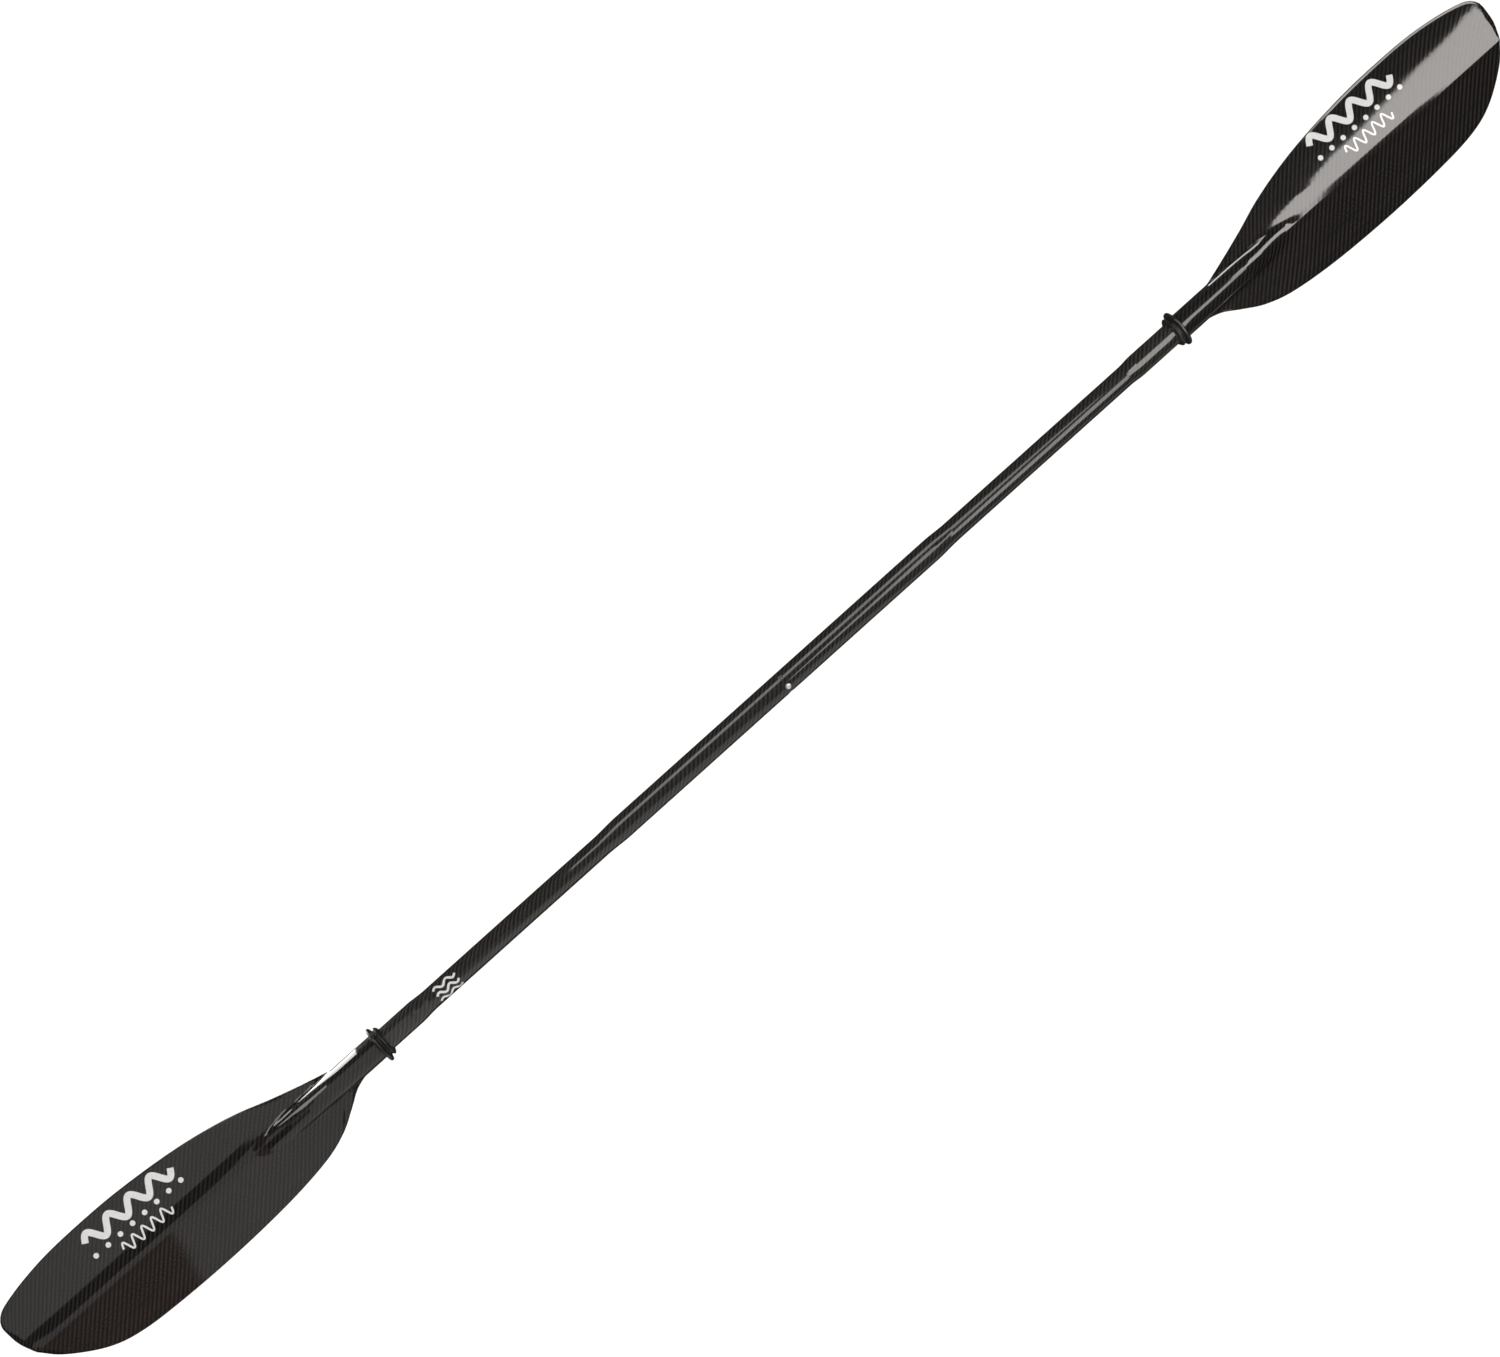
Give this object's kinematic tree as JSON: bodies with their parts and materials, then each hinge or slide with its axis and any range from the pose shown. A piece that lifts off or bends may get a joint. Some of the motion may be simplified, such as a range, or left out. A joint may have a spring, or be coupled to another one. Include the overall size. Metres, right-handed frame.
{
  "type": "kayak paddle",
  "caption": "Double-bladed touring kayak paddle with asymmetric carbon blades, drip rings and a snap-button joint in the middle of its shaft.",
  "frame": {"origin": "on the shaft's axis, at the snap button, midway between the blade tips", "axes": "+X along the shaft to the half with the socket, +Y towards the long edges of the blades, +Z out of the power faces"},
  "size_m": [2.3044, 0.1456, 0.0486],
  "materials": {
    "shaft_carbon": "gloss clear coat over wrapped carbon twill",
    "blade_carbon": "gloss clear coat over carbon twill",
    "ferrule_glass": "ground glass-fibre laminate",
    "foam": "closed-cell foam",
    "plug_foam": "closed-cell foam",
    "ring_rubber": "satin moulded rubber",
    "spring_steel": "stamped stainless spring steel, polished button",
    "white_print": "white screen print under the clear coat"
  },
  "bodies": {
    "left_half": {"left_shaft": "shaft_carbon", "male_ferrule": "ferrule_glass", "ferrule_plug": "plug_foam", "left_shaft_plug": "plug_foam", "left_blade_face": "blade_carbon", "left_blade_back": "blade_carbon", "left_blade_core": "foam"},
    "snap_button": {"snap_button_spring": "spring_steel"},
    "left_ring": {"left_drip_ring": "ring_rubber"},
    "socket_carrier": {"socket_bulkhead": "plug_foam"},
    "right_half": {"right_shaft": "shaft_carbon", "right_shaft_plug": "plug_foam", "right_blade_face": "blade_carbon", "right_blade_back": "blade_carbon", "right_blade_core": "foam"},
    "right_ring": {"right_drip_ring": "ring_rubber"}
  },
  "joints": [
    {"name": "take_apart", "type": "slide", "parent": "left_half", "child": "socket_carrier", "axis": [1, 0, 0], "range_m": [0, 0.14]},
    {"name": "feather", "type": "hinge", "parent": "socket_carrier", "child": "right_half", "pos_m": [0, 0, 0], "axis": [1, 0, 0], "range_deg": [-60, 60]},
    {"name": "button_press", "type": "slide", "parent": "left_half", "child": "snap_button", "axis": [0, 0.4695, -0.8829], "range_m": [0, 0.005], "stiffness_N_per_m": 3000, "springref_m": -0.0015, "deforming": ["snap_button_spring"]},
    {"name": "left_ring_slide", "type": "slide", "parent": "left_half", "child": "left_ring", "axis": [1, 0, 0], "range_m": [0, 0.038]},
    {"name": "right_ring_slide", "type": "slide", "parent": "right_half", "child": "right_ring", "axis": [-1, 0, 0], "range_m": [0, 0.038]}
  ]
}
